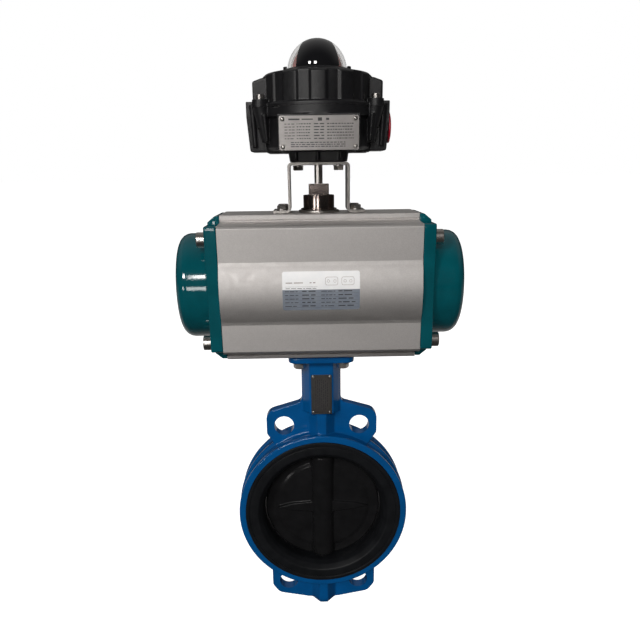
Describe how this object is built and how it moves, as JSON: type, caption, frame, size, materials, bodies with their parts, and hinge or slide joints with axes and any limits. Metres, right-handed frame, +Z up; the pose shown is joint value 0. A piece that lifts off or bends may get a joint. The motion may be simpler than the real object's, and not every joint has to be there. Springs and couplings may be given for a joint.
{
  "type": "pneumatic actuated butterfly valve",
  "caption": "Wafer butterfly valve turned by a rack-and-pinion pneumatic actuator, with a position switch box and domed indicator on top.",
  "frame": {"origin": "on the stem axis at the flat underside of the valve casting; the centre of the pipe bore is 0.138 m above it", "axes": "+Z up along the stem from the valve to the indicator, +Y along the pipe towards the actuator's air ports, +X along the actuator towards the plugged cable entry"},
  "size_m": [0.314, 0.1589, 0.6743],
  "materials": {
    "blue_epoxy": "glossy blue epoxy over a cast body, fine orange peel",
    "teal_paint": "glossy teal powder coat",
    "anodised_aluminium": "matt bead-blasted clear anodising on an extrusion",
    "bare_aluminium": "machined",
    "black_rubber": "moulded black rubber",
    "disc_coating": "black nylon-type coating over cast iron, satin gloss",
    "black_paint": "satin black powder coat over die-cast aluminium",
    "stainless": "stainless steel",
    "plated_steel": "machined, plated steel",
    "bearing_bronze": "bearing bronze",
    "nylon": "natural nylon",
    "clear_plastic": "clear polycarbonate with a black masked band",
    "red_plastic": "moulded red plastic",
    "switch_plastic": "black moulded switch case"
  },
  "bodies": {
    "valve_frame": {"actuator_body": "anodised_aluminium", "bracket_foot_bolt_front_left": "stainless", "bracket_foot_bolt_front_right": "stainless", "bracket_foot_bolt_rear_left": "stainless", "bracket_foot_bolt_rear_right": "stainless", "bracket_top_bolt_left": "stainless", "bracket_top_bolt_right": "stainless", "cap_screw_left_front_bottom": "stainless", "cap_screw_left_front_top": "stainless", "cap_screw_left_rear_bottom": "stainless", "cap_screw_left_rear_top": "stainless", "cap_screw_right_front_bottom": "stainless", "cap_screw_right_front_top": "stainless", "cap_screw_right_rear_bottom": "stainless", "cap_screw_right_rear_top": "stainless", "conduit_plug": "red_plastic", "cover_bolt_front_left": "stainless", "cover_bolt_front_right": "stainless", "cover_bolt_rear_left": "stainless", "cover_bolt_rear_right": "stainless", "end_cap_left": "teal_paint", "end_cap_right": "teal_paint", "flange_bolt_front_left": "stainless", "flange_bolt_front_right": "stainless", "flange_bolt_rear_left": "stainless", "flange_bolt_rear_right": "stainless", "indicator_dome": "clear_plastic", "limit_switch_closed": "switch_plastic", "limit_switch_open": "switch_plastic", "mounting_bracket": "stainless", "pinion_bush_bottom": "nylon", "pinion_bush_top": "nylon", "pinion_thrust_washer": "stainless", "seat_liner": "black_rubber", "stem_bush_lower": "bearing_bronze", "stem_bush_upper": "bearing_bronze", "stem_seal": "black_rubber", "stop_nut_closed": "stainless", "stop_nut_open": "stainless", "switch_cover": "black_paint", "switch_housing": "black_paint", "switch_nameplate": "stainless", "valve_body": "blue_epoxy", "valve_nameplate": "stainless"},
    "valve_shaft": {"valve_disc": "disc_coating", "valve_stem": "stainless", "stem_retaining_ring": "plated_steel"},
    "pinion_shaft": {"pinion": "plated_steel", "pinion_circlip": "plated_steel", "stop_cam": "plated_steel"},
    "indicator_shaft": {"switch_shaft": "stainless", "cam_closed": "red_plastic", "cam_open": "red_plastic", "indicator_rotor": "red_plastic"},
    "left_piston": {"piston_left": "bare_aluminium", "piston_seal_left": "black_rubber"},
    "right_piston": {"piston_right": "bare_aluminium", "piston_seal_right": "black_rubber"},
    "closed_stop": {"stop_screw_closed": "stainless"},
    "open_stop": {"stop_screw_open": "stainless"}
  },
  "joints": [
    {"name": "valve_turn", "type": "hinge", "parent": "valve_frame", "child": "valve_shaft", "pos_m": [0, 0, 0.138], "axis": [0, 0, 1], "range_deg": [0, 90]},
    {"name": "pinion_turn", "type": "hinge", "parent": "valve_frame", "child": "pinion_shaft", "pos_m": [0, 0, 0.4218], "axis": [0, 0, 1], "range_deg": [0, 90]},
    {"name": "indicator_turn", "type": "hinge", "parent": "valve_frame", "child": "indicator_shaft", "pos_m": [0, 0, 0.588], "axis": [0, 0, 1], "range_deg": [0, 90]},
    {"name": "left_piston_travel", "type": "slide", "parent": "valve_frame", "child": "left_piston", "axis": [-1, 0, 0], "range_m": [0, 0.0316]},
    {"name": "right_piston_travel", "type": "slide", "parent": "valve_frame", "child": "right_piston", "axis": [1, 0, 0], "range_m": [0, 0.0316]},
    {"name": "closed_stop_adjust", "type": "slide", "parent": "valve_frame", "child": "closed_stop", "axis": [0, 1, 0], "range_m": [0, 0.006]},
    {"name": "open_stop_adjust", "type": "slide", "parent": "valve_frame", "child": "open_stop", "axis": [0, 1, 0], "range_m": [0, 0.006]}
  ],
  "couplings": [
    {"joint": "pinion_turn", "follows": "valve_turn", "ratio": 1},
    {"joint": "indicator_turn", "follows": "valve_turn", "ratio": 1},
    {"joint": "left_piston_travel", "follows": "valve_turn", "m_per_rad": 0.02},
    {"joint": "right_piston_travel", "follows": "valve_turn", "m_per_rad": 0.02}
  ]
}
